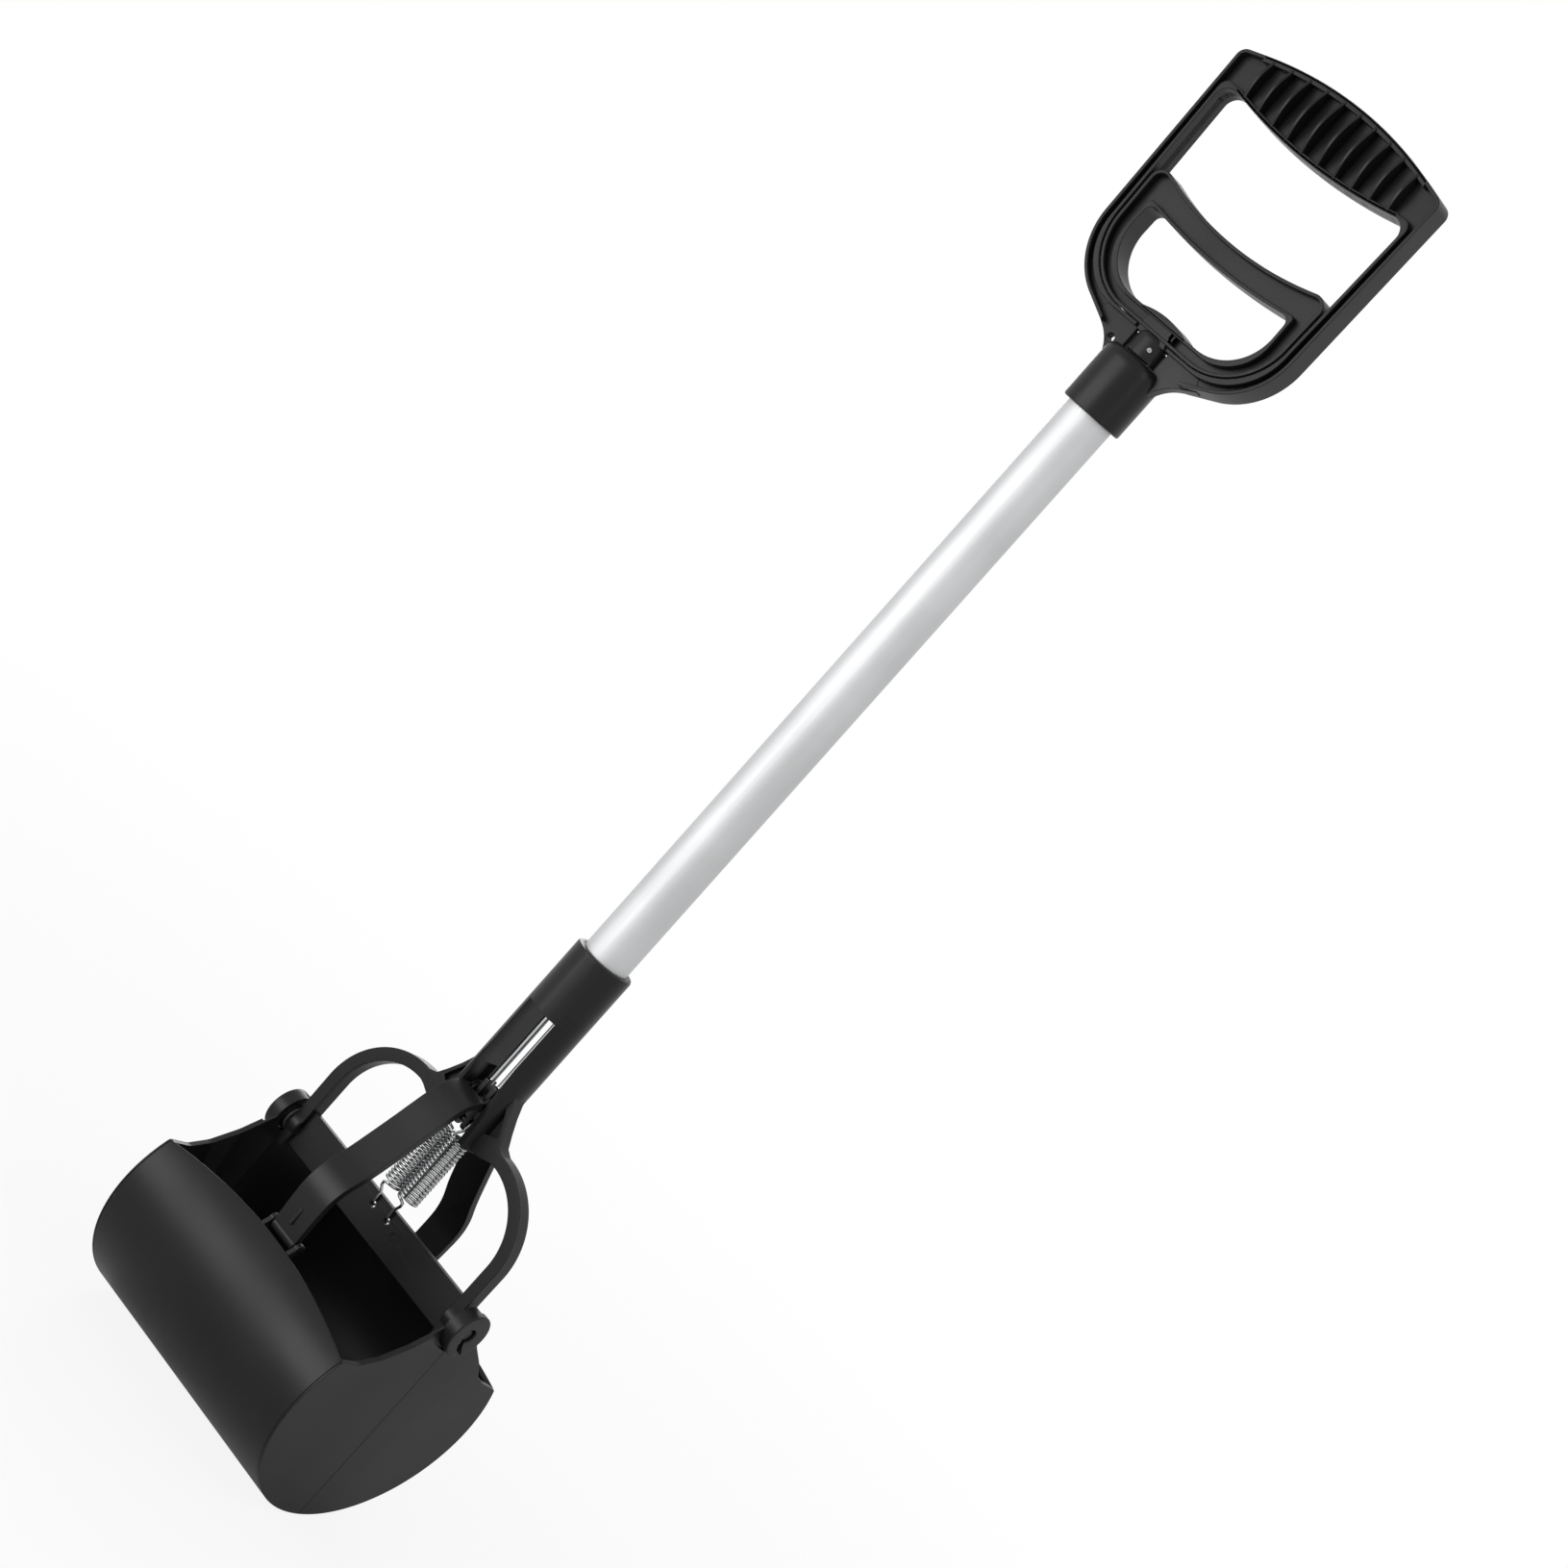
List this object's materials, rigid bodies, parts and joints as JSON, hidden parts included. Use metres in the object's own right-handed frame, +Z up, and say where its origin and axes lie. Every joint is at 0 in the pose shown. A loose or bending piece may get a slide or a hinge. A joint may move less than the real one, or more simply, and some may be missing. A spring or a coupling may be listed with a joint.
{
  "type": "pooper scooper",
  "caption": "Long-handled dog waste scooper: D-shaped ribbed grip, squeeze ring, aluminium tube, and a spring-closed scoop of curved jaws worked by pull rods and link arms.",
  "frame": {"origin": "centre of the grip of the hand frame, on the tube's axis", "axes": "+Z up along the tube towards the grip, +X along the grip and the jaw hinge, -Y is the front"},
  "size_m": [0.139, 0.1288, 0.7057],
  "materials": {
    "black_plastic": "satin moulded black",
    "tube_metal": "satin drawn tube",
    "rod_steel": "bright drawn rod",
    "spring_steel": "bright plated wire",
    "guide_plastic": "dull moulded"
  },
  "bodies": {
    "base": {"handle_frame": "black_plastic", "tube": "tube_metal", "rod_guide_upper": "guide_plastic", "rod_guide_lower": "guide_plastic", "lower_housing": "black_plastic", "spring_left": "spring_steel", "spring_right": "spring_steel", "pivot_pin_left": "rod_steel", "pivot_pin_right": "rod_steel", "pivot_washer_left": "guide_plastic", "pivot_washer_right": "guide_plastic"},
    "squeeze": {"trigger": "black_plastic", "stem_pin": "rod_steel", "pull_rod_left": "rod_steel", "pull_rod_right": "rod_steel", "arm_pivot_pin": "rod_steel", "spring_pin": "rod_steel"},
    "jaw_front": {"front_jaw": "black_plastic", "front_rim_pin": "rod_steel"},
    "jaw_back": {"back_jaw": "black_plastic", "back_rim_pin": "rod_steel"},
    "arm_front": {"front_arm": "black_plastic"},
    "arm_back": {"back_arm": "black_plastic"}
  },
  "joints": [
    {"name": "squeeze_slide", "type": "slide", "parent": "base", "child": "squeeze", "axis": [0, 0, 1], "range_m": [0, 0.0288], "stiffness_N_per_m": 500, "springref_m": -0.01, "deforming": ["spring_left", "spring_right"]},
    {"name": "front_jaw_hinge", "type": "hinge", "parent": "base", "child": "jaw_front", "pos_m": [0, 0, -0.586], "axis": [-1, 0, 0], "range_deg": [0, 34]},
    {"name": "back_jaw_hinge", "type": "hinge", "parent": "base", "child": "jaw_back", "pos_m": [0, 0, -0.586], "axis": [1, 0, 0], "range_deg": [0, 34]},
    {"name": "front_arm_hinge", "type": "hinge", "parent": "jaw_front", "child": "arm_front", "pos_m": [0, -0.0464, -0.6026], "axis": [1, 0, 0], "range_deg": [0, 32.7]},
    {"name": "back_arm_hinge", "type": "hinge", "parent": "jaw_back", "child": "arm_back", "pos_m": [0, 0.0464, -0.6026], "axis": [-1, 0, 0], "range_deg": [0, 32.7]}
  ],
  "couplings": [
    {"joint": "front_jaw_hinge", "follows": "squeeze_slide", "rad_per_m": 20.6},
    {"joint": "back_jaw_hinge", "follows": "squeeze_slide", "rad_per_m": 20.6},
    {"joint": "front_arm_hinge", "follows": "squeeze_slide", "rad_per_m": 19.8},
    {"joint": "back_arm_hinge", "follows": "squeeze_slide", "rad_per_m": 19.8}
  ]
}
